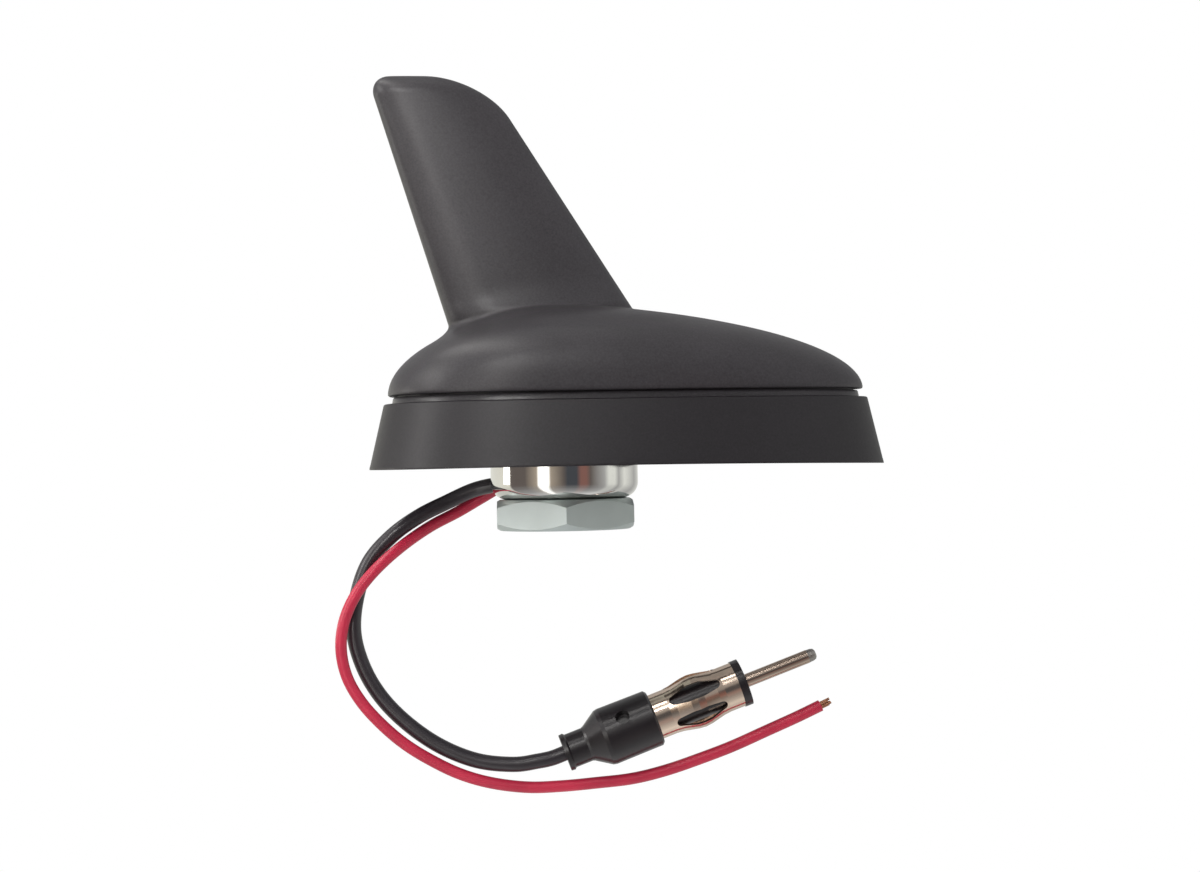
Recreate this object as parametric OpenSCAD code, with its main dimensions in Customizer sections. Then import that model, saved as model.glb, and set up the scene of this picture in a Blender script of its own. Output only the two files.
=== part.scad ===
// Shark fin roof aerial: fin cover, rubber skirt, die-cast base with a hollow threaded stud,
// cup washer and hex nut under the roof, and two short leads, one with a coaxial aerial plug.
// +X is forward (the nose), +Y is the vehicle's left, +Z is up.
// The origin is on the stud's axis, in the seat face that rests on the roof.

/* [Cover] */
// Length of the cover behind the stud's axis
cover_rear = 38.7; // [36:0.1:42]
// Length of the cover ahead of the stud's axis
cover_front = 67.3; // [62:0.1:74]
// Width of the cover at its lower edge
cover_w = 55.4; // [53:0.2:62]
// Thickness of the cover's wall
cover_wall = 2.4; // [1.8:0.1:2.8]
// Height of the low dome above the parting line, without the fin
dome_h = 19.3; // [18:0.1:22]

/* [Fin] */
// Height of the fin's tip above the roof
fin_top = 86.6; // [78:0.1:92]
// Lean of the fin's rear edge, in degrees from upright
rear_lean = 17; // [14:0.5:19]
// Lean of the fin's front edge, in degrees from upright
front_lean = 32; // [28:0.5:33]
// Thickness of the fin where it leaves the dome
fin_root_t = 15.6; // [14:0.2:18]
// Thickness of the fin under its tip
fin_tip_t = 9.2; // [8.6:0.2:11]

/* [Skirt] */
// Height of the parting line above the roof
parting_z = 15.7; // [14.5:0.1:17]
// Depth of the dark groove between the cover and the skirt
groove_h = 1.7; // [1.2:0.1:2.2]
// How far the skirt's foot stands out beyond the cover
skirt_out = 4.3; // [3:0.1:5]
// Radius of the roof's curve that the skirt's lip follows
roof_radius = 2600; // [1600:100:5000]

/* [Stud and fixings] */
// Outer diameter of the hollow stud
stud_d = 20; // [19:0.5:21]
// Bore of the hollow stud
stud_bore = 14; // [12:0.5:14]
// Width of the nut across its flats
nut_af = 30; // [29:0.5:32]
// Thickness of the nut
nut_t = 6.8; // [6:0.1:7.5]
// Outer diameter of the cup washer
cup_d = 32.7; // [31.5:0.1:33.2]
// Height of the cup washer
cup_h = 7.2; // [6.6:0.1:7.6]

/* [Leads and plug] */
// Diameter of the coaxial cable
coax_d = 3.4; // [3:0.1:3.6]
// Diameter of the supply wire
wire_d = 2.6; // [2.3:0.1:2.8]
// Angle of the plug above the horizontal, in degrees
plug_tilt = 20; // [10:1:30]
// Diameter of the plug's centre pin
pin_d = 3; // [2.8:0.1:3.2]

/* [Hidden] */

// Corners round a horizontal section of the cover, the skirt and the base
sides = 48;
// Half of the plan's width lies here, as a distance behind the stud's axis
widest_x = -2;
// Superellipse powers of the plan behind and ahead of the widest place
plan_rear = 2.6;
plan_front = 2.2;
// The dome's sections shrink by these powers of the height that is left
dome_power = 0.625;
rear_power = 0.65;
side_power = 0.5;
// Sharpness of the soft shoulder along the dome's sides
shoulder = 3.2;
// The fin's edges pass these points, as x and z
fin_rear_root = [-24.9, 30.8];
fin_front_root = [12.3, 40.3];
// Height at which the fin's sides reach their tip thickness
fin_shoulder_z = fin_top - 4.5;
// Reach and height of the round corners at the fin's tip, behind and ahead
tip_rear = [5, 4.6];
tip_front = [12.9, 9.6];
// The fin's sections: their widest place as a share of their length, and their superellipse powers
fin_widest = 0.3;
fin_rear_power = 2.4;
fin_front_power = 2;
// Reach of the smooth join between the fin and the dome
join = 6;
// The fillet at the fin's foot: its reach, its height, and how far up it starts at the fin's rear and front
fillet_out = 2.4;
fillet_h = 8;
fillet_top = [2, 9];

// Section of the skirt and the base, as distances outward from the cover's lower edge
ledge_out = 1;
band_in = 0.6;
gap_in = 1.6;
gap_h = 0.6;
casting_in = 5;
foot_in = 7.5;
foot_t = 1.2;
tray_wall = 3;
tray_floor = 3;
floor_top = foot_t + tray_floor;
ledge_z = parting_z - groove_h;

// Seat face, between the cup washer's rim and the skirt's foot, and stud
seat_gap = 0.8;
seat_outer_r = cover_w / 2 - foot_in - seat_gap;
seat_inner_r = cup_d / 2 + 0.3;
stud_r = stud_d / 2;
stud_end_z = -14.2;
slot_w = 7;
slot_top_z = -1.2;
cable_side = 150;

// Cup washer and nut
cup_r = cup_d / 2;
cup_t = 1.2;
cup_corner = 3.5;
cup_top_z = -0.3;
cup_floor_z = cup_top_z - cup_h;
notch_w = 8.4;
nut_top_z = cup_floor_z - 0.05;
nut_corner_at = -93;
thread_play = 0.08;

// Boards and the small parts inside
board_z = 8;
board_t = 1.6;
board_x = [19.7 - cover_rear, cover_front - 33.3];
board_w = cover_w - 25.4;
boss_r = 3.2;
boss_top_z = parting_z + 9.6;
screw_l = 11;
screw_r = 1.5;
screw_seat_z = 3.6;
head_r = 2.7;
head_h = 1.8;
rear_boss = [board_x[0] - 5, board_w / 2 - 3];
front_boss = [board_x[1] + 6, board_w / 2 - 4];
BOSSES = [for (p = [rear_boss, front_boss], s = [-1, 1]) [p[0], s * p[1]]];
STANDOFFS = [for (x = [board_x[0] + 4, board_x[1] - 4], s = [-1, 1]) [x, s * (board_w / 2 - 4)]];
radiator_t = 1.6;
chip_w = 6;
can_l = 18;
can_w = board_w / 2 - 2;
can_h = 3.5;
can_wall = 0.4;
track_w = 1;
track_l = 18;
track_z = 41;
track_step = 4.6;
track_shift = 1.9;
track_rows = 7;

// The rubber outlet that fills the stud's bore, and how far it stands into the stud's slot
grommet_z = [-7, 6];
grommet_reach = 9.5;
// Where each lead meets the board above, as x and y
coax_at = [2.4, -1.2];
wire_at = [1, 3];

// Aerial plug: its rear end and its lengths along its own axis
plug_at = [-1, 0, -64];
boot_l = 21.5;
boot_neck_r = 3.85;
sleeve_l = 19.8;
sleeve_r = 5.1;
ring_l = 1.8;
pin_tip = 59.6;
pin_neck = 0.5;
pin_neck_r = pin_d / 2 - 0.3;
hole_at = 14.5;
hole_turn = -123;
slot_turn = -120;
slot_across = 3.8;
slot_end = 2.2;
leaf_bulge = 1.1;
core_r = 4.2;

// Route of the coaxial cable, from the grommet to the plug
COAX = [[-8.9, 3.6, -4.2], [-11.9, 5.3, -4.2], [-15.1, 7, -4.3], [-20, 8.6, -5.4], [-26, 8.9, -8],
    [-32.3, 8, -11], [-38.5, 7, -15.3], [-43.6, 6.5, -21], [-46.4, 6, -28.5],
    [-47.2, 5, -36.5], [-45.2, 4.5, -44.2], [-41.3, 4, -51], [-35.6, 3, -56.9],
    [-28.5, 2, -61.9], [-20.5, 1, -65.2], [-12.5, 0.3, -66.2], [-7, 0, -65.6], [-3.8, 0, -65],
    [-1, 0, -64]];
// Route of the supply wire, from the grommet to its bare end
WIRE = [[-7.3, 6.4, -4.3], [-10.3, 8.1, -4.3], [-13.6, 10.2, -4.8], [-17.8, 12, -7.1],
    [-23.3, 12, -10.2], [-30, 9.4, -13.5], [-36.7, 5.8, -17.9], [-42.6, 2.8, -23],
    [-46.8, 2.2, -28.3], [-49.3, 1.9, -34], [-50, 1.8, -40], [-48.8, 1.7, -46],
    [-45.8, 1.5, -51.5], [-41.6, 1.3, -56.4], [-36.6, 1.2, -60.9], [-31, 1.1, -64.6],
    [-24.5, 0.6, -67.9], [-17.5, 0.2, -70.1], [-9.5, 0, -71.3], [-2, 0, -71.3], [6, 0, -70.8],
    [14, 0, -70.1], [21.5, 0, -68.5], [29, 0, -66.2], [36.5, 0, -63.6], [44, 0, -60.5],
    [51, 0, -57.6], [56.6, 0, -55.1]];
// The bare strands stand out of the wire's end by this much
strand_l = 2.4;
strand_r = 0.85;

// Length left at a height, by the power n, from 1 at the foot to 0 at the top
function falling(t, n) = pow(max(0, 1 - t * t), n);
function mix(a, b, t) = a + (b - a) * max(0, min(1, t));
function ease(t) = let (u = max(0, min(1, t))) u * u * (3 - 2 * u);
// How far a round corner has come in at height z: size is its reach and its height
function corner_in(z, size) = let (t = max(0, min(1, (z - fin_top + size[1]) / size[1])))
    size[0] * (1 - sqrt(1 - t * t));

// A closed plan outline from xr to xf, with half width hw, widest at xm
function egg(xr, xf, xm, hw, nr, nf) = [for (i = [0:sides - 1])
    let (a = 360 * (i + 0.5) / sides, c = cos(a), s = sin(a), n = c > 0 ? nf : nr,
        reach = c > 0 ? xf - xm : xr - xm, side = s > 0 ? hw : -hw)
    [xm + reach * pow(abs(c), 2 / n), side * pow(abs(s), 2 / n)]];

// The plan outline of the cover's lower edge, moved outward by d
function plan(d) = egg(-cover_rear - d, cover_front + d, widest_x, cover_w / 2 + d, plan_rear, plan_front);

// Places on the cover at height z: its rear and front ends and its half width
function rise(z) = min(1, (z - parting_z) / dome_h);
function rear_line(z) =
    -fin_rear_root[0] + (z - fin_rear_root[1]) * tan(rear_lean) - corner_in(z, tip_rear);
function front_line(z) =
    fin_front_root[0] - (z - fin_front_root[1]) * tan(front_lean) - corner_in(z, tip_front);
// How far the fillet at the fin's foot stands out at distance x and height z
function fillet(x, z) = let (top = parting_z + dome_h,
    u = max(0, top + mix(fillet_top[0], fillet_top[1], (x - fin_rear_root[0]) / 37) - z) / fillet_h)
    fillet_out * pow(min(1, u), 2) * ease((z - top + 5) / 5);
function side_line(z) = let (foot = parting_z + dome_h)
    mix(fin_root_t, fin_tip_t, (z - foot) / (fin_shoulder_z - foot)) / 2
    * sqrt(max(0, 1 - pow(max(0, z - fin_shoulder_z) / (fin_top - fin_shoulder_z), 2)));
// The fin and the dome at height z, each as an egg outline
function fin_egg(z) = let (low = max(z, 24), xr = -rear_line(low), xf = front_line(low))
    [xr, xf, mix(xr, xf, fin_widest), side_line(z), fin_rear_power, fin_front_power];
function dome_egg(z) = let (back = cover_rear * falling(rise(z), rear_power))
    [-back, cover_front * falling(rise(z), dome_power), widest_x * back / cover_rear,
        cover_w / 2 * pow(max(0, 1 - pow(rise(z), shoulder)), side_power), plan_rear, plan_front];
// About how far a point lies outside the egg outline e; negative inside it
function gap(x, y, e) = let (n = x > e[2] ? e[5] : e[4], long = x > e[2] ? e[1] - e[2] : e[2] - e[0],
    u = abs(x - e[2]) / long, v = abs(y) / e[3], size = max(0.000001, pow(pow(u, n) + pow(v, n), 1 / n)),
    slope = pow(size, 1 - n) * norm([pow(u, n - 1) / long, pow(v, n - 1) / e[3]]))
    (size - 1) / max(0.000001, slope);
// Smooth smaller of two gaps, which joins the fin and the dome with a fillet
function both(a, b) = min(a, b) - pow(max(0, join - abs(a - b)), 2) / (4 * join);
function away(x, y, fin, dome) = dome[3] > 0.5 ? both(gap(x, y, fin), gap(x, y, dome)) : gap(x, y, fin);
// How far from the middle the surface lies along a direction, by n halvings between a and b
function met(mid, dir, fin, dome, d, a, b, n) = n == 0 ? a : let (t = (a + b) / 2,
    in = away(mid + dir[0] * t, dir[1] * t, fin, dome) + d < 0)
    met(mid, dir, fin, dome, d, in ? t : a, in ? b : t, n - 1);
// One section of the cover at height z, with the surface moved inward by d
function section(z, d) = let (fin = fin_egg(z), dome = dome_egg(z), m = max(z, 30),
    mid = (front_line(m) - rear_line(m)) / 2, xr = min(fin[0], dome[0]), xf = max(fin[1], dome[1]))
    [for (p = egg(xr, xf, mix(xr, xf, 0.36), max(fin[3], dome[3]), 2.3, 2.1))
        let (far = norm([p[0] - mid, p[1]]), dir = [p[0] - mid, p[1]] / far,
            t = met(mid, dir, fin, dome, d, 0, far + 6, 18), y = dir[1] * t, x = mid + dir[0] * t)
        [x, y * (1 + fillet(x, z) / max(abs(y), fin[3])), z]];
function moved(ring, dz) = [for (p = ring) [p[0], p[1], p[2] + dz]];

// Heights of the sections: up the dome by equal turns, then up the fin, then round its tip
outer_z = concat([for (a = [0:8:64]) parting_z + dome_h * sin(a)],
    [for (t = [0.7, 1.3, 2.1, 3.2]) parting_z + dome_h - 2.6 + t],
    [for (t = [0.012, 0.05, 0.12, 0.3, 0.55, 0.75, 0.86]) mix(parting_z + dome_h, fin_top, t)],
    [for (a = [10:16:74]) mix(fin_shoulder_z - 1.5, fin_top, sin(a))], [fin_top - 0.06]);
inner_top = fin_top - 3.6;
inner_z = concat([parting_z], [for (a = [15, 29, 42, 54, 66, 78]) parting_z + dome_h * sin(a)],
    [for (t = [0.01, 0.06, 0.3, 0.6, 0.85, 1]) mix(parting_z + dome_h, inner_top, t)]);

// Faces between neighbouring rings of n points each
function walls(rings, n) = [for (r = [0:rings - 2], i = [0:n - 1], h = [0, 1])
    let (a = r * n + i, b = r * n + (i + 1) % n)
    h == 0 ? [a, b + n, b] : [a, a + n, b + n]];

// A solid through rings that have the same number of points, closed by a flat face at both ends
module skin(rings) {
    n = len(rings[0]);
    last = (len(rings) - 1) * n;
    polyhedron(points = [for (r = rings, p = r) p], faces = concat([[for (i = [0:n - 1]) i]],
        walls(len(rings), n), [[for (i = [n - 1:-1:0]) last + i]]));
}

// Vector helpers for the leads
function unit(v) = v / norm(v);
function tangent(p, i) = i == 0 ? p[1] - p[0] : i == len(p) - 1 ? p[i] - p[i - 1] : p[i + 1] - p[i - 1];
// Carries the side vector along the route without twist
function frames(p, dirs, i, side) = i == len(p) ? [] :
    let (s = unit(side - dirs[i] * (side * dirs[i])))
    concat([[s, cross(dirs[i], s)]], frames(p, dirs, i + 1, s));

// A round lead along a route, with given directions at its two ends
module lead(route, d, first, last, corners = 8) {
    n = len(route);
    dirs = [for (i = [0:n - 1]) i == 0 ? unit(first) : i == n - 1 ? unit(last) : unit(tangent(route, i))];
    axes = frames(route, dirs, 0, [0.1, 1, 0.05]);
    skin([for (i = [0:n - 1]) [for (k = [0:corners - 1])
        let (a = 360 * k / corners) route[i] + d / 2 * (cos(a) * axes[i][0] + sin(a) * axes[i][1])]]);
}

// Places something on the plug's axis, with its own +Z along the axis
module on_plug() {
    translate(plug_at) rotate([0, 90 - plug_tilt, 0]) children();
}

// A round bar from z0 to z1
module bar(r, z0, z1, at = [0, 0]) {
    translate([at[0], at[1], z0]) cylinder(r = r, h = z1 - z0, $fn = 48);
}

module cover_shell() {
    n = sides;
    roof_in = 0.9 * cover_wall;
    outer = [for (z = outer_z) section(z, 0)];
    inner = concat([section(parting_z, cover_wall)],
        [for (i = [1:len(inner_z) - 1]) moved(section(inner_z[i] + roof_in, cover_wall), -roof_in)]);
    no = len(outer);
    ni = len(inner);
    base = no * n;
    polyhedron(points = [for (r = concat(outer, inner), p = r) p], faces = concat(
        walls(no, n), [[for (i = [n - 1:-1:0]) (no - 1) * n + i]],
        [for (f = walls(ni, n)) [base + f[2], base + f[1], base + f[0]]],
        [[for (i = [0:n - 1]) base + (ni - 1) * n + i]],
        [for (i = [0:n - 1], h = [0, 1]) let (j = (i + 1) % n)
            h == 0 ? [j, base + i, i] : [j, base + j, base + i]]));
}

// The moulded cover, hollow, with four screw bosses under its dome
module fin_cover() {
    color("#3b3c40") {
        cover_shell();
        for (p = BOSSES) difference() {
            bar(boss_r, board_z + 1, boss_top_z, p);
            bar(screw_r, board_z, parting_z + 6, p);
        }
    }
}

// Section of the skirt: distance outward from the cover's edge, height, and share of the roof's curve
SKIRT = [[skirt_out, 0, 1], [skirt_out - 0.35, 1.1, 1], [ledge_out, ledge_z, 0], [-band_in, ledge_z, 0],
    [-band_in, parting_z - gap_h, 0], [-gap_in, parting_z - gap_h, 0], [-gap_in, parting_z, 0],
    [-casting_in, parting_z, 0], [-casting_in, foot_t, 0], [-foot_in, foot_t, 0],
    [-foot_in, 0, 0], [-3.6, 0, 0.3], [-2.8, 1, 0.3], [1.6, 1, 0.8], [2.4, 0, 1]];

// The rubber skirt, tapered outward to a lip that follows the curved roof
module base_gasket() {
    n = sides;
    m = len(SKIRT);
    rings = [for (s = SKIRT) [for (p = plan(s[0]))
        [p[0], p[1], s[1] - s[2] * (p[0] * p[0] + p[1] * p[1]) / (2 * roof_radius)]]];
    color("#3a3a3d") polyhedron(points = [for (r = rings, p = r) p],
        faces = [for (r = [0:m - 1], i = [0:n - 1], h = [0, 1])
            let (j = (i + 1) % n, q = (r + 1) % m, a = r * n + i, b = r * n + j, c = q * n + j, d = q * n + i)
            h == 0 ? [a, b, c] : [a, c, d]]);
}

module tray_outline(d) {
    polygon(plan(-casting_in - d));
}

// The die-cast base: tray, bosses, ribs, seat ring and the hollow stud with its cable slot
module base_casting() {
    color("#a7a9ab") difference() {
        union() {
            translate([0, 0, foot_t]) linear_extrude(parting_z + 1.3 - foot_t) tray_outline(0);
            bar(seat_outer_r, 0, floor_top);
            bar(stud_r, stud_end_z, floor_top);
        }
        translate([0, 0, floor_top]) linear_extrude(parting_z) difference() {
            tray_outline(tray_wall);
            for (p = BOSSES) translate(p) circle(r = boss_r + 0.3, $fn = 40);
            for (p = STANDOFFS) translate(p) circle(r = 3, $fn = 40);
            for (s = [-1, 1]) translate([front_boss[0] + 5, s * (front_boss[1] - 3) - 0.75])
                square([8, 1.5]);
        }
        for (p = BOSSES) bar(boss_r + 0.35, board_z + 1, parting_z + 2, p);
        for (p = STANDOFFS) bar(3.1, board_z, parting_z + 2, p);
        for (p = STANDOFFS) bar(1.2, floor_top + 0.5, parting_z, p);
        for (p = BOSSES) bar(head_r + 0.4, 0, screw_seat_z, p);
        for (p = BOSSES) bar(screw_r + 0.2, screw_seat_z - 1, board_z + 2, p);
        difference() {
            bar(seat_inner_r, -1, 0.8);
            bar(stud_r, -2, 1);
        }
        bar(stud_bore / 2, stud_end_z - 1, floor_top + 1);
        rotate(cable_side) translate([0, -slot_w / 2, stud_end_z - 1])
            cube([stud_r + 1, slot_w, slot_top_z - stud_end_z + 1]);
        difference() {
            bar(stud_r + 1, stud_end_z - 1, stud_end_z + 1);
            translate([0, 0, stud_end_z - 1.1])
                cylinder(r1 = stud_r - 2.1, r2 = stud_r + 0.2, h = 2.3, $fn = 64);
        }
    }
}

// The pressed cup washer, with an open notch in its wall for the leads
module cup_washer() {
    inner_corner = cup_corner - cup_t;
    color("#d4d2cd") difference() {
        rotate_extrude($fn = 96) union() {
            translate([stud_r + 0.4, cup_floor_z]) square([cup_r - cup_corner - stud_r - 0.4, cup_t]);
            translate([cup_r - cup_t, cup_floor_z + cup_corner]) square([cup_t, cup_h - cup_corner]);
            translate([cup_r - cup_corner, cup_floor_z + cup_corner]) intersection() {
                difference() {
                    circle(r = cup_corner, $fn = 64);
                    circle(r = inner_corner, $fn = 64);
                }
                translate([0, -cup_corner]) square(cup_corner);
            }
        }
        rotate(cable_side) translate([cup_r - cup_corner, -notch_w / 2, cup_floor_z + cup_t])
            cube([cup_corner + 1, notch_w, cup_h]);
    }
}

// The thin hex nut, chamfered on both faces
module hex_nut() {
    corner_r = nut_af / 2 / cos(30);
    face_r = nut_af / 2 - 0.6;
    drop = (corner_r + 0.2 - face_r) * tan(30);
    color("#b9bbb6") translate([0, 0, nut_top_z - nut_t]) difference() {
        intersection() {
            rotate(nut_corner_at) cylinder(r = corner_r, h = nut_t, $fn = 6);
            rotate_extrude($fn = 96) polygon([[0, 0], [face_r, 0], [corner_r + 0.2, drop],
                [corner_r + 0.2, nut_t - drop], [face_r, nut_t], [0, nut_t]]);
        }
        translate([0, 0, -1]) cylinder(r = stud_r + thread_play, h = nut_t + 2, $fn = 96);
    }
}

// Four pan head screws, up through the base into the cover's bosses
module cover_screws() {
    color("#9a9c9e") for (p = BOSSES) {
        bar(head_r, screw_seat_z - head_h, screw_seat_z, p);
        bar(screw_r, screw_seat_z, board_z + 1 + screw_l, p);
    }
}

module amplifier_board() {
    r = 2;
    color("#2f6b45") difference() {
        translate([0, 0, board_z]) linear_extrude(board_t) union() {
            translate([board_x[0] + r, -board_w / 2]) square([board_x[1] - board_x[0] - 2 * r, board_w]);
            translate([board_x[0], -board_w / 2 + r]) square([board_x[1] - board_x[0], board_w - 2 * r]);
            for (x = [board_x[0] + r, board_x[1] - r], s = [-1, 1])
                translate([x, s * (board_w / 2 - r)]) circle(r = r, $fn = 32);
        }
        for (p = STANDOFFS) bar(1.6, board_z - 1, board_z + board_t + 1, p);
    }
}

// Four small screws that hold the board on its pillars
module board_screws() {
    color("#b5b7b9") for (p = STANDOFFS) {
        bar(2.4, board_z + board_t, board_z + board_t + 1.6, p);
        bar(1.2, floor_top + 1.5, board_z + board_t, p);
    }
}

module amplifier_chip() {
    color("#26272a") translate([14, -9, board_z + board_t]) cube([chip_w, chip_w, 1.2]);
}

// Pressed screening can, open underneath
module shield_can() {
    color("#c2c4c6") translate([8, -2, board_z + board_t]) difference() {
        cube([can_l, can_w, can_h]);
        translate([can_wall, can_wall, -1])
            cube([can_l - 2 * can_wall, can_w - 2 * can_wall, can_h + 1 - can_wall]);
    }
}

// Edge of the upright radiator board, as x and z
RADIATOR = [[-17, board_z + board_t], [4, board_z + board_t], [4, 44], [-17.5, 76], [-33.5, 76],
    [-20.5, 33], [-17, 28]];
module radiator_board() {
    color("#3a7350") rotate([90, 0, 0]) translate([0, 0, -radiator_t / 2]) linear_extrude(radiator_t)
        polygon(RADIATOR);
}

// The radiator's copper path, which goes to and fro up the board
module radiator_track() {
    w = track_w;
    foot = track_z - 19;
    color("#b87333") rotate([90, 0, 0]) translate([0, 0, radiator_t / 2]) linear_extrude(0.1) {
        translate([-8, foot]) square([w, track_z + w - foot]);
        for (i = [0:track_rows - 1]) let (z = track_z + track_step * i, shift = -track_shift * i) {
            translate([shift - track_l, z]) square([track_l, w]);
            if (i < track_rows - 1) translate([shift - track_shift - (i % 2 == 0 ? w : track_l), z])
                square([track_shift + w, track_step + w]);
        }
    }
}

// Ribbed coil at the foot of the radiator
module loading_coil() {
    color("#b87333") translate([-8, -radiator_t / 2 - 2.6, board_z + board_t]) union() {
        cylinder(r = 2, h = 13, $fn = 32);
        for (i = [0:5]) translate([0, 0, 1.4 + 1.9 * i]) cylinder(r = 2.6, h = 1, $fn = 32);
    }
}

module coax_ferrule() {
    color("#c9b26a") bar(2, grommet_z[1], board_z, coax_at);
}

module supply_terminal() {
    color("#c2c4c6") bar(1.3, grommet_z[1], board_z, wire_at);
}

// Rubber outlet that fills the stud's bore and turns the leads out through its slot
module cable_grommet() {
    color("#2a2a2c") {
        bar(stud_bore / 2, grommet_z[0], grommet_z[1]);
        rotate(cable_side) translate([2, -slot_w / 2, grommet_z[0] + 0.4])
            cube([grommet_reach - 2, slot_w, slot_top_z - grommet_z[0] - 0.4]);
    }
}

out_of_slot = [cos(cable_side), sin(cable_side), 0];
plug_axis = [cos(plug_tilt), 0, sin(plug_tilt)];

module coax_cable() {
    color("#1d1e20") lead(COAX, coax_d, out_of_slot, plug_axis);
}

module supply_wire() {
    color("#9c2222") lead(WIRE, wire_d, out_of_slot, WIRE[len(WIRE) - 1] - WIRE[len(WIRE) - 2]);
}

// The bare copper strands at the supply wire's end
module wire_strands() {
    tip = WIRE[len(WIRE) - 1];
    dir = unit(tip - WIRE[len(WIRE) - 2]);
    color("#b87333") translate(tip) rotate([0, 90 - asin(dir[2]), 0]) union() {
        cylinder(r = strand_r * 0.6, h = strand_l * 0.8, $fn = 24);
        for (i = [0:5]) rotate(60 * i) translate([strand_r * 0.66, 0, 0])
            cylinder(r = strand_r / 3, h = strand_l * (0.8 + 0.2 * (i % 2)), $fn = 16);
    }
}

// The plug's moulded boot: cable collar, cone and barrel, with a blind hole in its side
module plug_boot() {
    color("#1f2022") on_plug() difference() {
        rotate_extrude($fn = 72) polygon([[0, 0], [boot_neck_r + 0.3, 0], [boot_neck_r + 0.4, 0.9],
            [boot_neck_r, 1.3], [boot_neck_r, 5.2], [boot_neck_r + 0.2, 5.7], [5.9, 8.5], [6.3, 9.1],
            [6.5, 10], [6.4, boot_l - 0.5], [5.9, boot_l], [0, boot_l]]);
        rotate(hole_turn) translate([0, 0, hole_at]) rotate([0, 90, 0]) bar(1.6, 4.4, 8.4);
    }
}

// The sprung outer contact: a tube with six slots and bulged leaves
module plug_sleeve() {
    wall = 0.6;
    leaf_z = [3.4, 16.4];
    leaf = [for (t = [0:0.125:1])
        [sleeve_r + leaf_bulge * pow(sin(180 * t), 2), mix(leaf_z[0], leaf_z[1], t)]];
    outline = concat([[sleeve_r, 0]], leaf, [[sleeve_r, sleeve_l]]);
    color("#c4c1ba") on_plug() translate([0, 0, boot_l]) difference() {
        rotate_extrude($fn = 72) polygon(concat(outline,
            [for (i = [len(outline) - 1:-1:0]) outline[i] - [wall, 0]]));
        for (i = [0:5]) rotate(slot_turn + 60 * i) rotate([0, 90, 0]) hull()
            for (end = [0, 1], k = [0, 1]) let (d = k == 0 ? slot_end : slot_across,
                inset = k == 0 ? 0.5 + slot_end / 2 : 5, side = 1 - 2 * end)
                translate([-leaf_z[end] - side * inset, 0, sleeve_r - 2]) cylinder(d = d, h = 4, $fn = 32);
    }
}

// The black insulator inside the sleeve, with the ring that closes its front
module plug_insulator() {
    front = boot_l + sleeve_l;
    color("#18191a") on_plug() difference() {
        union() {
            bar(sleeve_r - 0.6, boot_l, front);
            bar(sleeve_r + 0.2, front, front + ring_l);
        }
        bar(pin_neck_r, boot_l + 4, front + ring_l + 1);
        difference() {
            bar(sleeve_r, boot_l + 3.4, front - 3.3);
            bar(core_r, boot_l + 3, front - 3);
        }
    }
}

// The centre pin, necked where the insulator holds it
module plug_pin() {
    root = boot_l + sleeve_l + ring_l + pin_neck;
    color("#c9c6bf") on_plug() {
        bar(pin_neck_r, boot_l + 4, root);
        bar(pin_d / 2, root, pin_tip - 1.2);
    }
}

// The solder that closes the pin's hollow tip
module pin_solder() {
    color("#b5b3ad") on_plug() translate([0, 0, pin_tip - 1.2]) rotate_extrude($fn = 32)
        polygon([[0, 0], [pin_d / 2 - 0.06, 0], [pin_d / 2 - 0.1, 1], [pin_d / 2 - 0.3, 1.6],
            [pin_d / 2 - 0.7, 1.88], [0, 1.95]]);
}

fin_cover();
base_gasket();
base_casting();
cup_washer();
hex_nut();
cover_screws();
amplifier_board();
board_screws();
amplifier_chip();
shield_can();
radiator_board();
radiator_track();
loading_coil();
coax_ferrule();
supply_terminal();
cable_grommet();
coax_cable();
supply_wire();
wire_strands();
plug_boot();
plug_sleeve();
plug_insulator();
plug_pin();
pin_solder();
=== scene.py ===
"""Shark fin roof aerial: the looks of its cover, skirt, fixings, leads and plug.

The part's own shapes are worked out in millimetres in the row frame, and scaled to metres as they
become meshes and curves. The floor, the lamps and the reflection ring are in metres.
"""

import math

import bpy
from mathutils import Matrix, Vector


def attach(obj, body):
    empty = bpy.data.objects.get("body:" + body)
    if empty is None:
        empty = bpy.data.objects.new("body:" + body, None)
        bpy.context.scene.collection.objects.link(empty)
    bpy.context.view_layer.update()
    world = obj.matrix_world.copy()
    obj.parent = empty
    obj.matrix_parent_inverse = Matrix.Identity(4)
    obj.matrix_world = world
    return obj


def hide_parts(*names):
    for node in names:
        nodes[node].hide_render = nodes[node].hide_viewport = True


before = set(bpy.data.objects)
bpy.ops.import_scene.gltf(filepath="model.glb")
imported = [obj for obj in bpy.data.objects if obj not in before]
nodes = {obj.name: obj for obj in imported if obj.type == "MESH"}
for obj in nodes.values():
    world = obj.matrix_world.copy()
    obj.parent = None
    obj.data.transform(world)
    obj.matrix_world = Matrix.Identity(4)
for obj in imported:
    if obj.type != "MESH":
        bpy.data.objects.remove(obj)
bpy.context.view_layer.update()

MM = 0.001
SIDES = 192

# Cover, with the sizes of the part's source
COVER_REAR = 38.7
COVER_FRONT = 67.3
COVER_W = 55.4
COVER_WALL = 2.4
PARTING_Z = 15.7
DOME_H = 19.3
DOME_TOP = PARTING_Z + DOME_H
FIN_TOP = 86.6
REAR_LEAN = math.radians(17)
FRONT_LEAN = math.radians(32)
FIN_ROOT_T = 15.6
FIN_TIP_T = 9.2
FIN_SHOULDER_Z = FIN_TOP - 4.5

# The fin's edges pass these points, as x and z, and its two top corners are this long and high
FIN_REAR_ROOT = (-24.9, 30.8)
FIN_FRONT_ROOT = (12.3, 40.3)
TIP_REAR = (5, 4.6)
TIP_FRONT = (12.9, 9.6)

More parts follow.
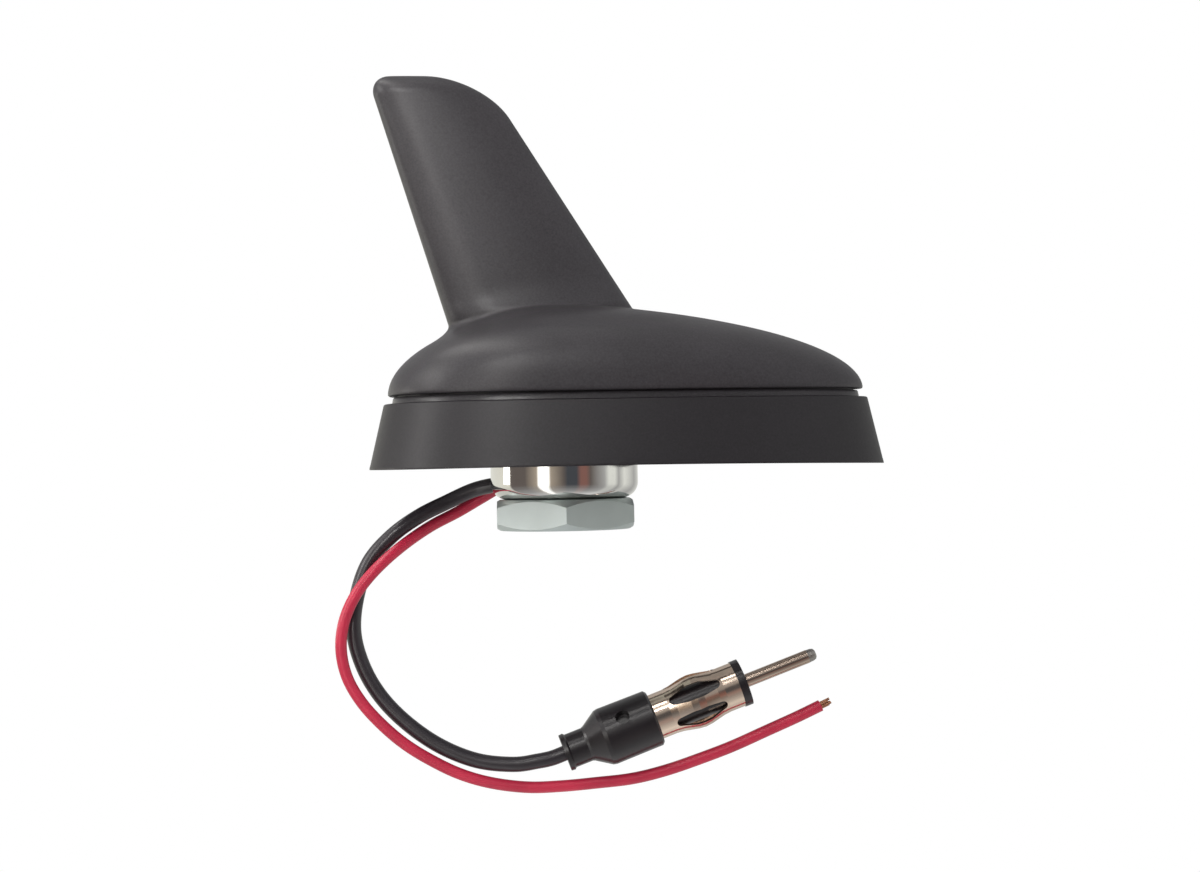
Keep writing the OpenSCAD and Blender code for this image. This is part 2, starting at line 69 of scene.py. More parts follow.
# Form of the plan outlines: where they are widest, and how full they are to the rear and the front
WIDEST_X = -2
PLAN_REAR = 2.6
PLAN_FRONT = 2.2
FIN_WIDEST = 0.3
FIN_REAR_POWER = 2.4
FIN_FRONT_POWER = 2

# Form of the dome's profiles at its front, rear and sides
DOME_POWER = 0.625
REAR_POWER = 0.65
SIDE_POWER = 0.5
SHOULDER = 3.2
DOME_MIN_W = 0.5

# Join of the fin and the dome, and the fillet at the fin's foot
JOIN = 6
FILLET_OUT = 2.4
FILLET_H = 8
FILLET_TOP = (2, 9)
FILLET_LENGTH = 37
FILLET_EASE = 5

# The fin's outline stays the same below the first of these heights, and its middle below the second
FIN_FOOT_Z = 24
FIN_MIDDLE_Z = 30

# The cover's surface is sought from the middle of the fin towards points on this outline
GUIDE_WIDEST = 0.36
GUIDE_REAR = 2.3
GUIDE_FRONT = 2.1
SEARCH_PAST = 6
HALVINGS = 18

# Edge and hollow of the cover
EDGE_R = 0.5
INNER_TOP = FIN_TOP - 3.6
INNER_DROP = 0.9 * COVER_WALL

# Skirt
ROOF_RADIUS = 2600
SKIRT_OUT = 4.3
LEDGE_Z = 13.9
BAND_IN = 1.1
BAND_TOP = 15.35
TRAY_IN = 5
FOOT_IN = 7.5
FOOT_T = 1.2

# Section of the skirt: distance outward from the cover's edge, height, and share of the roof's curve
SKIRT = [
    # Outer wall, from the lip on the roof up to the ledge
    (SKIRT_OUT, 0, 1), (SKIRT_OUT + 0.02, 0.25, 1), (SKIRT_OUT - 0.07, 0.6, 1),
    (SKIRT_OUT - 0.25, 1.2, 0.95), (1.05, LEDGE_Z - 0.5, 0.03), (0.95, LEDGE_Z - 0.15, 0),
    (0.7, LEDGE_Z, 0), (-BAND_IN + 0.35, LEDGE_Z, 0), (-BAND_IN + 0.2, LEDGE_Z + 0.12, 0),
    # Set-back band, and the gap between it and the cover
    (-BAND_IN, BAND_TOP - 0.25, 0), (-BAND_IN - 0.2, BAND_TOP, 0), (-BAND_IN - 1, BAND_TOP, 0),
    (-BAND_IN - 1, PARTING_Z, 0),
    # Inner wall and foot
    (-TRAY_IN, PARTING_Z, 0), (-TRAY_IN, FOOT_T, 0), (-FOOT_IN, FOOT_T, 0), (-FOOT_IN, 0, 0),
    # Hollow underside behind the lip
    (-3.6, 0, 0.3), (-2.8, 1, 0.3), (1.6, 1, 0.8), (2.4, 0, 1),
]

# Leads, with their routes given point by point
COAX_D = 3.4
WIRE_D = 2.6
LEAD_STEPS = 8
COAX = [
    (-8.9, 3.6, -4.2), (-11.9, 5.3, -4.2), (-15.1, 7, -4.3), (-20, 8.6, -5.4), (-26, 8.9, -8),
    (-32.3, 8, -11), (-38.5, 7, -15.3), (-43.6, 6.5, -21), (-46.4, 6, -28.5), (-47.2, 5, -36.5),
    (-45.2, 4.5, -44.2), (-41.3, 4, -51), (-35.6, 3, -56.9), (-28.5, 2, -61.9), (-20.5, 1, -65.2),
    (-12.5, 0.3, -66.2), (-7, 0, -65.6), (-3.8, 0, -65), (-1, 0, -64),
]
WIRE = [
    (-7.3, 6.4, -4.3), (-10.3, 8.1, -4.3), (-13.6, 10.2, -4.8), (-17.8, 12, -7.1), (-23.3, 12, -10.2),
    (-30, 9.4, -13.5), (-36.7, 5.8, -17.9), (-42.6, 2.8, -23), (-46.8, 2.2, -28.3), (-49.3, 1.9, -34),
    (-50, 1.8, -40), (-48.8, 1.7, -46), (-45.8, 1.5, -51.5), (-41.6, 1.3, -56.4), (-36.6, 1.2, -60.9),
    (-31, 1.1, -64.6), (-24.5, 0.6, -67.9), (-17.5, 0.2, -70.1), (-9.5, 0, -71.3), (-2, 0, -71.3),
    (6, 0, -70.8), (14, 0, -70.1), (21.5, 0, -68.5), (29, 0, -66.2), (36.5, 0, -63.6), (44, 0, -60.5),
    (51, 0, -57.6), (56.6, 0, -55.1),
]


# Mesh helpers


def new_mesh(name, points, faces, body, material, sharp):
    """A piece from points in millimetres, smooth but for edges sharper than that many degrees."""
    mesh = bpy.data.meshes.new(name)
    mesh.from_pydata([Vector(p) * MM for p in points], [], faces)
    mesh.validate()
    mesh.shade_smooth()
    mesh.set_sharp_from_angle(angle=math.radians(sharp))
    piece = bpy.data.objects.new(name, mesh)
    bpy.context.scene.collection.objects.link(piece)
    mesh.materials.append(material)
    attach(piece, body)
    return piece


def ring_walls(count, size, start=0, inward=False):
    """Quads between rings that follow each other, all of the same number of points."""
    faces = []
    for r in range(count - 1):
        for i in range(size):
            a = start + r * size + i
            b = start + r * size + (i + 1) % size
            face = (a, b, b + size, a + size)
            faces.append(face[::-1] if inward else face)
    return faces


def smooth_route(route, steps):
    """Points of a Catmull-Rom curve through the route, that many for each stretch."""
    points = [Vector(p) for p in route]
    ends = [2 * points[0] - points[1]] + points + [2 * points[-1] - points[-2]]
    out = []
    for a, b, c, d in zip(ends, ends[1:], ends[2:], ends[3:]):
        for k in range(steps):
            t = k / steps
            out.append(
                0.5 * (2 * b + (c - a) * t + (2 * a - 5 * b + 4 * c - d) * t**2
                + (3 * b - 3 * c + d - a) * t**3)
            )
    return out + [points[-1]]


# Shape of the cover, by the same rules as the part's source


def falling(t, power):
    return max(0.0, 1 - t * t) ** power


def mix(a, b, t):
    return a + (b - a) * max(0.0, min(1.0, t))


def ease(t):
    u = max(0.0, min(1.0, t))
    return u * u * (3 - 2 * u)


def corner_in(z, size):
    """How far an edge of the fin comes in at height z, round a top corner of that length and height."""
    t = max(0.0, min(1.0, (z - FIN_TOP + size[1]) / size[1]))
    return size[0] * (1 - math.sqrt(1 - t * t))


def egg(xr, xf, xm, hw, rear, front):
    """A closed plan outline from xr to xf, with half width hw, widest at xm."""
    out = []
    for i in range(SIDES):
        a = 2 * math.pi * (i + 0.5) / SIDES
        c, s = math.cos(a), math.sin(a)
        power = front if c > 0 else rear
        reach = xf - xm if c > 0 else xr - xm
        x = xm + reach * abs(c) ** (2 / power)
        y = math.copysign(hw, s) * abs(s) ** (2 / power)
        out.append((x, y))
    return out


def plan(d):
    """The plan of the cover's lower edge, moved outward by d."""
    return egg(-COVER_REAR - d, COVER_FRONT + d, WIDEST_X, COVER_W / 2 + d, PLAN_REAR, PLAN_FRONT)


def rear_line(z):
    return -FIN_REAR_ROOT[0] + (z - FIN_REAR_ROOT[1]) * math.tan(REAR_LEAN) - corner_in(z, TIP_REAR)


def front_line(z):
    return FIN_FRONT_ROOT[0] - (z - FIN_FRONT_ROOT[1]) * math.tan(FRONT_LEAN) - corner_in(z, TIP_FRONT)


def side_line(z):
    """Half the fin's thickness at height z."""
    up = (z - DOME_TOP) / (FIN_SHOULDER_Z - DOME_TOP)
    cap = max(0.0, z - FIN_SHOULDER_Z) / (FIN_TOP - FIN_SHOULDER_Z)
    return mix(FIN_ROOT_T, FIN_TIP_T, up) / 2 * math.sqrt(max(0.0, 1 - cap * cap))


def fillet(x, z):
    """How far the fillet at the fin's foot stands out at distance x and height z."""
    starts = DOME_TOP + mix(FILLET_TOP[0], FILLET_TOP[1], (x - FIN_REAR_ROOT[0]) / FILLET_LENGTH)
    u = min(1.0, max(0.0, starts - z) / FILLET_H)
    return FILLET_OUT * u * u * ease((z - DOME_TOP + FILLET_EASE) / FILLET_EASE)


def gap(x, y, shape):
    """About how far a point lies outside an egg outline; negative inside it."""
    xr, xf, xm, hw, rear, front = shape
    power, reach = (front, xf - xm) if x > xm else (rear, xm - xr)
    u, v = abs(x - xm) / reach, abs(y) / hw
    size = max(1e-6, (u**power + v**power) ** (1 / power))
    slope = size ** (1 - power) * math.hypot(u ** (power - 1) / reach, v ** (power - 1) / hw)
    return (size - 1) / max(1e-6, slope)


def both(a, b):
    """Smooth smaller of two gaps, which joins the fin and the dome."""
    near = max(0.0, JOIN - abs(a - b))
    return min(a, b) - near * near / (4 * JOIN)


def section(z, d):
    """One level section of the cover at height z, with its surface moved inward by d."""
    low, middle = max(z, FIN_FOOT_Z), max(z, FIN_MIDDLE_Z)
    fin_xr, fin_xf, fin_hw = -rear_line(low), front_line(low), side_line(z)
    fin = (fin_xr, fin_xf, mix(fin_xr, fin_xf, FIN_WIDEST), fin_hw, FIN_REAR_POWER, FIN_FRONT_POWER)
    centre = (front_line(middle) - rear_line(middle)) / 2
    rise = max(0.0, min(1.0, (z - PARTING_Z) / DOME_H))
    back = COVER_REAR * falling(rise, REAR_POWER)
    ahead = COVER_FRONT * falling(rise, DOME_POWER)
    wide = COVER_W / 2 * max(0.0, 1 - rise**SHOULDER) ** SIDE_POWER
    dome = None
    if wide > DOME_MIN_W:
        dome = (-back, ahead, WIDEST_X * back / COVER_REAR, wide, PLAN_REAR, PLAN_FRONT)
    xr, xf, hw = min(fin_xr, -back), max(fin_xf, ahead), max(fin_hw, wide)
    out = []
    for gx, gy in egg(xr, xf, mix(xr, xf, GUIDE_WIDEST), hw, GUIDE_REAR, GUIDE_FRONT):
        far = math.hypot(gx - centre, gy)
        dx, dy = (gx - centre) / far, gy / far
        inside, outside = 0.0, far + SEARCH_PAST
        for _ in range(HALVINGS):
            t = (inside + outside) / 2
            x, y = centre + dx * t, dy * t
            away = gap(x, y, fin)
            if dome:
                away = both(away, gap(x, y, dome))
            inside, outside = (t, outside) if away + d < 0 else (inside, t)
        x, y = centre + dx * inside, dy * inside
        out.append((x, y * (1 + fillet(x, z) / max(abs(y), fin_hw)), z))
    return out


def dome_heights(angles):
    """Heights over the dome's rise that crowd towards its top, from angles in degrees."""
    return [PARTING_Z + DOME_H * math.sin(math.radians(a)) for a in angles]


def outer_heights():
    """Heights of the outer surface, closest together at the fin's foot and at its top."""
    foot_end, foot_step, fin_steps = DOME_TOP + 1.5, 0.12, 30
    cap_start = FIN_SHOULDER_Z - 5
    heights = dome_heights(range(2, 66, 2))
    while heights[-1] < foot_end:
        heights.append(heights[-1] + foot_step)
    heights += [mix(foot_end, cap_start, k / fin_steps) for k in range(1, fin_steps + 1)]
    cap = FIN_TOP - cap_start
    return heights + [cap_start + cap * math.sin(math.radians(a)) for a in range(5, 88, 4)]


def fin_cover(material):
    """The hollow cover with a small radius round its lower edge."""
    outer = [section(PARTING_Z, EDGE_R)]
    for a in (22, 45, 67):
        turn = math.radians(a)
        ring = section(PARTING_Z, EDGE_R * (1 - math.sin(turn)))
        z = PARTING_Z + EDGE_R * (1 - math.cos(turn))
        outer.append([(p[0], p[1], z) for p in ring])
    outer += [section(h, 0) for h in outer_heights()]
    outer.append(section(FIN_TOP - 0.01, 0))
    shares = (0.01, 0.03, 0.06, 0.15, 0.3, 0.45, 0.6, 0.75, 0.85, 0.93, 1)
    inner = [section(PARTING_Z, COVER_WALL)]
    for h in dome_heights(range(8, 80, 6)) + [mix(DOME_TOP, INNER_TOP, t) for t in shares]:
        ring = section(h + INNER_DROP, COVER_WALL)
        inner.append([(x, y, z - INNER_DROP) for x, y, z in ring])
    points = [p for ring in outer + inner for p in ring]
    start = len(outer) * SIDES
    faces = ring_walls(len(outer), SIDES)
    faces.append(tuple((len(outer) - 1) * SIDES + i for i in range(SIDES)))
    faces += ring_walls(len(inner), SIDES, start, inward=True)
    faces.append(tuple(start + (len(inner) - 1) * SIDES + i for i in reversed(range(SIDES))))
    for i in range(SIDES):
        j = (i + 1) % SIDES
        faces.append((j, i, start + i, start + j))
    piece = new_mesh("fin_cover_skin", points, faces, "aerial", material, 50)
    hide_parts("fin_cover")


def skirt(material, highlight_band_material):
    """The rubber skirt: a set-back band under the cover, a ledge, and a lip that follows the roof. The
    band wears a lighter material that paints a soft highlight on it.
    """
    points = []
    for d, z, share in SKIRT:
        points += [(x, y, z - share * (x * x + y * y) / (2 * ROOF_RADIUS)) for x, y in plan(d)]
    count = len(SKIRT)
    faces = []
    for r in range(count):
        n = (r + 1) % count
        for i in range(SIDES):
            j = (i + 1) % SIDES
            faces.append((r * SIDES + i, r * SIDES + j, n * SIDES + j, n * SIDES + i))
    piece = new_mesh("skirt_skin", points, faces, "aerial", material, 35)
    piece.data.materials.append(highlight_band_material)
    # Faces of the set-back band take the second, lighter material: a painted highlight along the band
    for face in piece.data.polygons:
        if LEDGE_Z + 0.1 < face.center.z / MM < BAND_TOP:
            face.material_index = 1
    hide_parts("base_gasket")


def lead(name, route, diameter, material):
    """A round lead as a curve through the route."""
    curve = bpy.data.curves.new(name, "CURVE")
    curve.dimensions = "3D"
    curve.bevel_depth = diameter / 2 * MM
    curve.bevel_resolution = 8
    curve.use_fill_caps = True
    points = smooth_route(route, LEAD_STEPS)
    spline = curve.splines.new("POLY")
    spline.points.add(len(points) - 1)
    for point, place in zip(spline.points, points):
        point.co = (*(place * MM), 1)
    spline.use_smooth = True
    piece = bpy.data.objects.new(name, curve)
    bpy.context.scene.collection.objects.link(piece)
    curve.materials.append(material)
    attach(piece, "aerial")
    return piece


# Materials

NOISE_LOW = 0.3
NOISE_HIGH = 0.7


def shader(name, **values):
    """A new node material with those values on its main shader: returns material, tree and shader."""
    material = bpy.data.materials.new(name)
    material.use_nodes = True
    tree = material.node_tree
    main = tree.nodes["Principled BSDF"]
    for key, value in values.items():
        main.inputs[key.replace("_", " ")].default_value = value
    return material, tree, main


def add(tree, kind, **values):
    """A new node in the tree, with inputs given by name and other settings as they are."""
    node = tree.nodes.new(kind)
    for key, value in values.items():
        if key in node.inputs:
            node.inputs[key].default_value = value
        else:
            setattr(node, key, value)
    return node


def noise(tree, scale, detail):
    """Noise in the piece's own coordinates; scale is in waves per metre."""
    place = add(tree, "ShaderNodeTexCoord")
    texture = add(tree, "ShaderNodeTexNoise", Scale=scale, Detail=detail)
    tree.links.new(place.outputs["Object"], texture.inputs["Vector"])
    return texture.outputs["Fac"]


def varied(tree, source, low, high, target):
    """Feeds target with a value that goes from low to high with the source."""
    ramp = add(tree, "ShaderNodeMapRange")
    for key, value in (
        ("From Min", NOISE_LOW), ("From Max", NOISE_HIGH), ("To Min", low), ("To Max", high),
    ):
        ramp.inputs[key].default_value = value
    tree.links.new(source, ramp.inputs["Value"])
    tree.links.new(ramp.outputs["Result"], target)


def tinted(tree, source, color, low, high, target):
    """Feeds target with the colour, times low to high with the source."""
    ramp = add(tree, "ShaderNodeValToRGB")
    for stop, place, share in zip(ramp.color_ramp.elements, (NOISE_LOW, NOISE_HIGH), (low, high)):
        stop.position = place
        stop.color = (*(min(1, c * share) for c in color), 1)
    tree.links.new(source, ramp.inputs["Fac"])
    tree.links.new(ramp.outputs["Color"], target)


def bumped(tree, main, source, strength, depth):
    """A bump on the shader from the source, depth in millimetres."""
    bump = add(tree, "ShaderNodeBump", Strength=strength, Distance=depth * MM)
    tree.links.new(source, bump.inputs["Height"])
    tree.links.new(bump.outputs["Normal"], main.inputs["Normal"])


def soft_touch(name, color, rough):
    """Matte soft-touch paint: a very fine grain and faint, wide changes of tone."""
    material, tree, main = shader(name, Roughness=rough, IOR=1.46)
    tone = add(tree, "ShaderNodeMix", data_type="FLOAT")
    tone.inputs[0].default_value = 0.75
    tree.links.new(noise(tree, 60, 2), tone.inputs[2])
    tree.links.new(noise(tree, 2300, 2), tone.inputs[3])
    tinted(tree, tone.outputs[0], color, 0.72, 1.28, main.inputs["Base Color"])
    varied(tree, noise(tree, 900, 2), rough - 0.02, rough + 0.02, main.inputs["Roughness"])
    bumped(tree, main, noise(tree, 5200, 3), 0.25, 0.03)
    return material


def moulded(name, color, rough, grain=2600, depth=0.02, coat=0.0):
    """Moulded or extruded plastic or rubber, with a fine skin."""
    material, tree, main = shader(name, Roughness=rough, Coat_Weight=coat, Coat_Roughness=0.2)
    tinted(tree, noise(tree, 120, 3), color, 0.85, 1.12, main.inputs["Base Color"])
    varied(tree, noise(tree, 600, 3), rough - 0.015, rough + 0.02, main.inputs["Roughness"])
    bumped(tree, main, noise(tree, grain, 4), 0.3, depth)
    return material


def metal(name, color, rough, spread, grain=1500, depth=0.004):
    """Plated or cast metal, with faint changes of tone, roughness and level."""
    material, tree, main = shader(name, Metallic=1.0, Roughness=rough)
    tinted(tree, noise(tree, 90, 3), color, 0.92, 1.05, main.inputs["Base Color"])
    varied(tree, noise(tree, 700, 4), rough - spread, rough + spread, main.inputs["Roughness"])
    bumped(tree, main, noise(tree, grain, 3), 0.3, depth)
    return material


def dress(name, material):
    """Gives a CAD node that stays the material, in all its slots."""
    mesh = nodes[name].data
    mesh.materials.clear()
    mesh.materials.append(material)


cover_paint = soft_touch("soft_touch_grey", (0.038, 0.035, 0.0385), 0.4)
skirt_rubber = soft_touch("skirt_rubber_grey", (0.0155, 0.0135, 0.016), 0.45)
# Lighter than the skirt's rubber, to paint a soft highlight along the set-back band under the cover
highlight_band_paint = soft_touch("band_painted_highlight", (0.036, 0.033, 0.036), 0.3)
cable_black = moulded("cable_jacket_black", (0.028, 0.023, 0.028), 0.34, 1800, 0.002, coat=0.3)
wire_red = moulded("wire_insulation_red", (0.62, 0.024, 0.068), 0.38, 1800, 0.001, coat=0.1)
plug_black = moulded("plug_moulding_black", (0.011, 0.008, 0.010), 0.34, depth=0.006, coat=0.35)
grommet_black = moulded("grommet_rubber", (0.014, 0.014, 0.015), 0.6)
board_green = moulded("board_mask_green", (0.02, 0.12, 0.05), 0.3, 900, 0.01)
chip_black = moulded("chip_package", (0.015, 0.015, 0.016), 0.5)
chrome = metal("bright_chrome_plate", (0.86, 0.85, 0.83), 0.06, 0.006, 400, 0.001)
zinc = metal("zinc_plate_satin", (0.65, 0.72, 0.715), 0.46, 0.04, 2200)
die_cast = metal("die_cast_alloy", (0.55, 0.55, 0.56), 0.45, 0.08, 1800, 0.02)
nickel = metal("nickel_plate", (0.93, 0.75, 0.61), 0.17, 0.012, depth=0.001)
# A darker copy of the sleeve's nickel plate for the pin: painted shade
pin_nickel_painted_shade = metal("pin_nickel_painted_shade", (0.62, 0.49, 0.40), 0.2, 0.01, depth=0.001)
tinned = metal("tinned_steel", (0.62, 0.62, 0.61), 0.35, 0.03)
screw_steel = metal("screw_steel", (0.5, 0.5, 0.5), 0.35, 0.03)
copper = metal("bare_copper", (0.50, 0.25, 0.15), 0.4, 0.08, 3000)
solder = metal("solder_grey", (0.42, 0.40, 0.38), 0.42, 0.1, 2500, 0.06)

for node_name, finish in {
    "base_casting": die_cast, "cup_washer": chrome, "hex_nut": zinc, "cover_screws": screw_steel,
    "amplifier_board": board_green, "board_screws": screw_steel, "amplifier_chip": chip_black,
    "shield_can": tinned, "radiator_board": board_green, "radiator_track": copper,
    "loading_coil": copper, "coax_ferrule": tinned, "supply_terminal": tinned,
    "cable_grommet": grommet_black, "wire_strands": copper, "plug_boot": plug_black,
    "plug_sleeve": nickel, "plug_insulator": plug_black, "plug_pin": pin_nickel_painted_shade, "pin_solder": solder,
}.items():
    dress(node_name, finish)

fin_cover(cover_paint)
skirt(skirt_rubber, highlight_band_paint)
coax = lead("coax_lead", COAX, COAX_D, cable_black)
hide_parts("coax_cable")
wire = lead("supply_lead", WIRE, WIRE_D, wire_red)
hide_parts("supply_wire")


# Camera, at the photograph's place: the origin falls on one pixel at a known scale

IMAGE = (1200, 872)
ORIGIN_PIXEL = (564, 464.6)
PIXELS_PER_MM = 4.5
ROLL = math.radians(1.1)
AZIMUTH = math.radians(-5)
ELEVATION = math.radians(-0.5)
DISTANCE = 500
SENSOR = 36


def aim_camera():
    level_reach = math.cos(ELEVATION)
    back = Vector((
        math.sin(AZIMUTH) * level_reach, -math.cos(AZIMUTH) * level_reach, math.sin(ELEVATION),
    ))
    level = (-back).to_track_quat("-Z", "Y").to_matrix()
    turned = level @ Matrix.Rotation(-ROLL, 3, "Z")
    right, up = turned.col[0], turned.col[1]
    dx = (IMAGE[0] / 2 - ORIGIN_PIXEL[0]) / PIXELS_PER_MM
    dy = (ORIGIN_PIXEL[1] - IMAGE[1] / 2) / PIXELS_PER_MM
    place = right * dx + up * dy + back * DISTANCE
    data = bpy.data.cameras.new("camera")
    data.sensor_width = SENSOR
    data.lens = SENSOR * PIXELS_PER_MM * DISTANCE / IMAGE[0]
    data.clip_start = 0.01
    camera = bpy.data.objects.new("camera", data)
    bpy.context.scene.collection.objects.link(camera)
    camera.matrix_world = Matrix.Translation(place * MM) @ turned.to_4x4()
    bpy.context.scene.camera = camera


# Stage: white all round for the camera, and plain soft light on the object

FLOOR_Z = -0.13
FLOOR_REACH = 4
SHADOW_SHARE = 0.8
SHADOW_FULL_R = 0.03
SHADOW_END_R = 0.22
WORLD_LIGHT = 0.32


def seen_directly(tree):
    """One for camera, glossy and transmission rays, and nothing for the others."""
    path = add(tree, "ShaderNodeLightPath")
    total = path.outputs["Is Camera Ray"]
    for ray in ("Is Glossy Ray", "Is Transmission Ray"):
        larger = add(tree, "ShaderNodeMath", operation="MAXIMUM")
        tree.links.new(total, larger.inputs[0])
        tree.links.new(path.outputs[ray], larger.inputs[1])
        total = larger.outputs[0]
    return total


def mixed(tree, share, first, second, target):
    """Feeds target with the first shader where the share is nothing, and the second where it's one."""
    blend = add(tree, "ShaderNodeMixShader")
    for place, source in enumerate((share, first, second)):
        tree.links.new(source, blend.inputs[place])
    tree.links.new(blend.outputs[0], target)


def build_world():
    world = bpy.data.worlds.new("studio")
    bpy.context.scene.world = world
    world.use_nodes = True
    tree = world.node_tree
    light = tree.nodes["Background"]
    light.inputs["Color"].default_value = (0.96, 0.94, 1, 1)
    light.inputs["Strength"].default_value = WORLD_LIGHT
    white = add(tree, "ShaderNodeBackground", Strength=1.0)
    white.inputs["Color"].default_value = (1, 1, 1, 1)
    target = tree.nodes["World Output"].inputs["Surface"]
    mixed(tree, seen_directly(tree), light.outputs[0], white.outputs[0], target)


def build_floor():
    """A white floor that keeps a part of the object's shadow near the middle."""
    mesh = bpy.data.meshes.new("floor")
    corners = [(-1, -1), (1, -1), (1, 1), (-1, 1)]
    mesh.from_pydata([(x * FLOOR_REACH, y * FLOOR_REACH, FLOOR_Z) for x, y in corners], [], [(0, 1, 2, 3)])
    floor = bpy.data.objects.new("floor", mesh)
    bpy.context.scene.collection.objects.link(floor)
    material, tree, main = shader("floor_white", Roughness=0.9)
    main.inputs["Base Color"].default_value = (0.9, 0.9, 0.9, 1)
    glow = add(tree, "ShaderNodeEmission", Strength=1.0)
    place = add(tree, "ShaderNodeTexCoord")
    away = add(tree, "ShaderNodeVectorMath", operation="LENGTH")
    ramp = add(tree, "ShaderNodeMapRange", interpolation_type="SMOOTHSTEP")
    for key, value in (
        ("From Min", SHADOW_FULL_R), ("From Max", SHADOW_END_R), ("To Min", SHADOW_SHARE), ("To Max", 1.0),
    ):
        ramp.inputs[key].default_value = value
    fade = add(tree, "ShaderNodeMath", operation="MULTIPLY")
    tree.links.new(place.outputs["Object"], away.inputs[0])
    tree.links.new(away.outputs["Value"], ramp.inputs["Value"])
    tree.links.new(seen_directly(tree), fade.inputs[0])
    tree.links.new(ramp.outputs["Result"], fade.inputs[1])
    target = tree.nodes["Material Output"].inputs["Surface"]
    mixed(tree, fade.outputs[0], main.outputs[0], glow.outputs[0], target)
    mesh.materials.append(material)


def lamp(name, place, aim, size, power, color, spread=180, mirrored=True):
    """A soft rectangular lamp; one that isn't mirrored leaves no image of itself in bright metal."""
    data = bpy.data.lights.new(name, "AREA")
    data.shape = "RECTANGLE"
    data.size, data.size_y = size
    data.energy = power
    data.color = color
    data.spread = math.radians(spread)
    light = bpy.data.objects.new(name, data)
    bpy.context.scene.collection.objects.link(light)
    light.location = place
    light.visible_glossy = mirrored
    light.rotation_mode = "QUATERNION"
    light.rotation_quaternion = (Vector(aim) - Vector(place)).to_track_quat("-Z", "Y")


# What the bright metals reflect of the studio: turn from the camera in degrees, left negative, and tone
CREAM = (0.80, 0.78, 0.68)
SHADE = (0.13, 0.11, 0.10)
BEIGE = (0.40, 0.34, 0.27)
WINDOW = (2.6, 2.6, 2.5)
SLATE = (0.065, 0.07, 0.08)
BRICK = (0.24, 0.12, 0.10)
PALE = (0.80, 0.81, 0.76)
GREY = (0.42, 0.42, 0.41)
ROOM = [
    (-180, PALE), (-94, CREAM), (-90, SHADE), (-62, SHADE), (-42, BEIGE), (-36, WINDOW), (-26, WINDOW),
    (-20, BEIGE), (0, SHADE), (6, SLATE), (20, SLATE), (27, BRICK), (35, BRICK), (42, SHADE),
    (66, GREY), (74, PALE), (86, PALE), (94, GREY), (108, PALE), (140, GREY), (180, PALE),
]

# The same for the light above the room, in plain grey
SKY = [
    (-180, 0.4), (-120, 0.6), (-80, 0.9), (-45, 0.9), (-10, 0.4), (30, 0.3), (60, 0.8), (100, 0.6),
    (180, 0.4),
]

# Levels of the ring in degrees above the horizon: share of the room's tone and grey added to it,
# and then share of the tone above the room
ROOM_LEVELS = [
    (-86, 0.2, 0.7), (-70, 0.3, 0.5), (-50, 0.4, 0.26), (-30, 0.6, 0.12), (-14, 0.92, 0.02),
    (-6, 1, 0), (7, 1, 0),
]
SKY_LEVELS = [(14, 0.8), (40, 1), (75, 0.8)]
RING_R = 0.9
RING_STEPS = 360

# The ring's lower part lies flat at this height, above the floor
DISH_Z = -0.11


def along(stops, turn):
    """The grey at that turn, between the two stops round it."""
    for (a, first), (b, second) in zip(stops, stops[1:]):
        if turn <= b:
            return first + (second - first) * (turn - a) / (b - a)
    return stops[-1][1]


def room_tone(turn):
    return [along([(a, tone[k]) for a, tone in ROOM], turn) for k in range(3)]


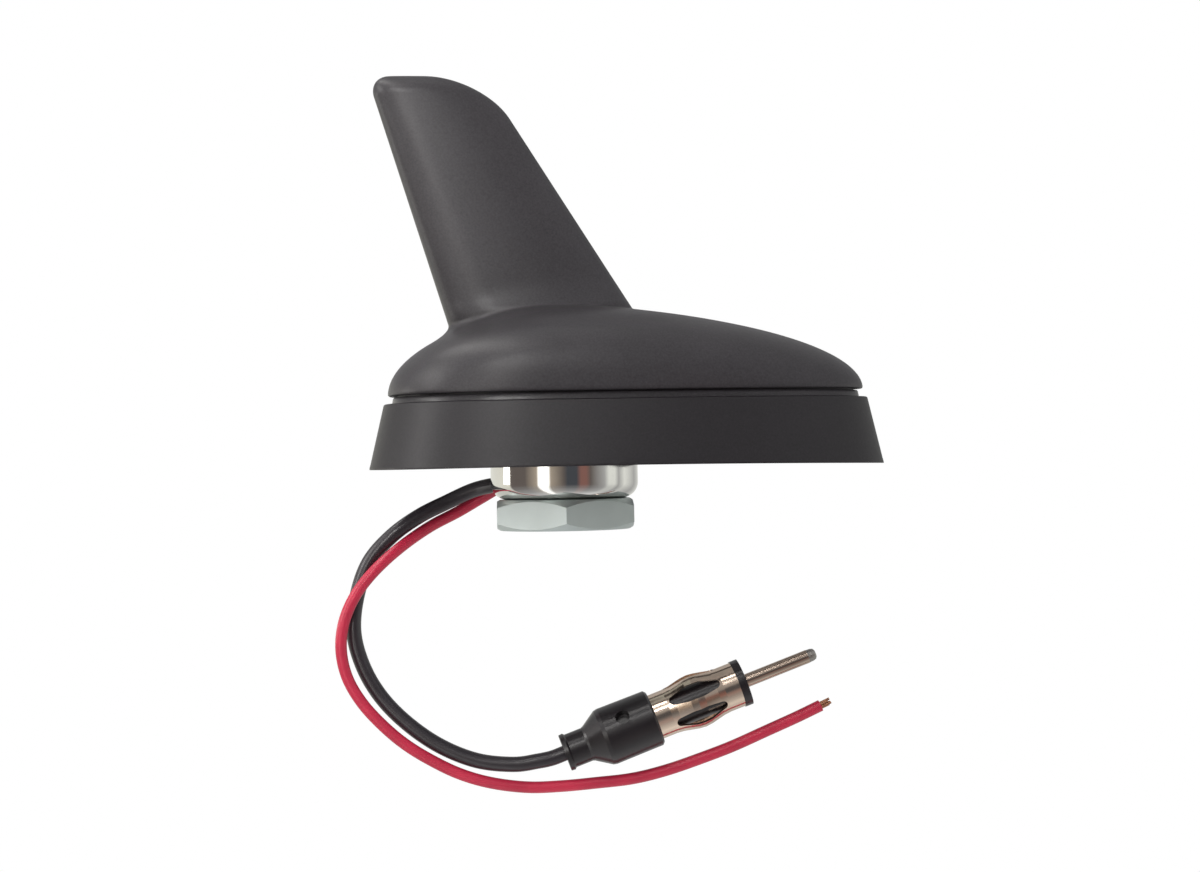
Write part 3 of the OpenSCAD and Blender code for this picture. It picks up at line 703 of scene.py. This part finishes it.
def reflection_ring():
    """A ring with a flat foot that only reflections see, with the tones of the room all round."""
    points, tones = [], []
    for k in range(RING_STEPS + 1):
        turn = -180 + 360 * k / RING_STEPS
        a = math.radians(turn) + AZIMUTH
        room, sky = room_tone(turn), along(SKY, turn)
        column = [(up, [c * share + plain for c in room]) for up, share, plain in ROOM_LEVELS]
        column += [(up, [share * sky] * 3) for up, share in SKY_LEVELS]
        for up, tone in column:
            u = math.radians(up)
            reach, z = RING_R * math.cos(u), RING_R * math.sin(u)
            if z < DISH_Z:
                reach, z = DISH_Z / math.tan(u), DISH_Z
            points.append((reach * math.sin(a), -reach * math.cos(a), z))
            tones.append([*tone, 1])
    n = len(ROOM_LEVELS) + len(SKY_LEVELS)
    faces = [
        (k * n + i, (k + 1) * n + i, (k + 1) * n + i + 1, k * n + i + 1)
        for k in range(RING_STEPS) for i in range(n - 1)
    ]
    mesh = bpy.data.meshes.new("reflection_ring")
    mesh.from_pydata(points, [], faces)
    layer = mesh.color_attributes.new("tone", "FLOAT_COLOR", "POINT")
    for item, tone in zip(layer.data, tones):
        item.color = tone
    piece = bpy.data.objects.new("reflection_ring", mesh)
    bpy.context.scene.collection.objects.link(piece)
    material = bpy.data.materials.new("reflection_ring")
    material.use_nodes = True
    tree = material.node_tree
    tree.nodes.clear()
    out = add(tree, "ShaderNodeOutputMaterial")
    glow = add(tree, "ShaderNodeEmission", Strength=1.0)
    color = add(tree, "ShaderNodeVertexColor", layer_name="tone")
    tree.links.new(color.outputs["Color"], glow.inputs["Color"])
    tree.links.new(glow.outputs[0], out.inputs["Surface"])
    mesh.materials.append(material)
    piece.visible_camera = False
    piece.visible_diffuse = False
    piece.visible_shadow = False
    piece.visible_transmission = False
    piece.visible_volume_scatter = False


aim_camera()
build_world()
build_floor()
reflection_ring()

# Lamps: place, aim, width and height, power, and colour
WARM = (1.0, 0.975, 0.94)
FAINT_WARM = (1.0, 0.98, 0.95)
lamp("key", (-0.16, -0.5, 0.17), (0, 0, 0.04), (0.07, 0.3), 0.44, WARM)
lamp("high", (-0.2, -0.08, 0.48), (0, 0, 0.02), (0.6, 0.1), 1.05, FAINT_WARM)
lamp("rear", (-0.5, -0.06, 0.32), (0, 0, 0.01), (0.3, 0.2), 0.45, WARM)
lamp("rim", (-0.55, 0.14, 0.03), (0, 0, 0.01), (0.14, 0.14), 0.25, WARM)
lamp("upper", (-0.1, -0.4, 0.28), (-0.02, 0, 0.11), (0.12, 0.12), 0.036, (1.0, 0.99, 0.98), spread=36)
lamp("left", (-0.52, -0.19, 0.17), (0, 0, 0.04), (0.16, 0.26), 0.62, (1.0, 0.98, 0.96))
lamp("right", (0.45, -0.35, 0.1), (0, 0, 0.01), (0.2, 0.2), 0.42, (0.95, 0.92, 1.0), mirrored=False)

bpy.context.scene.view_settings.view_transform = "Standard"
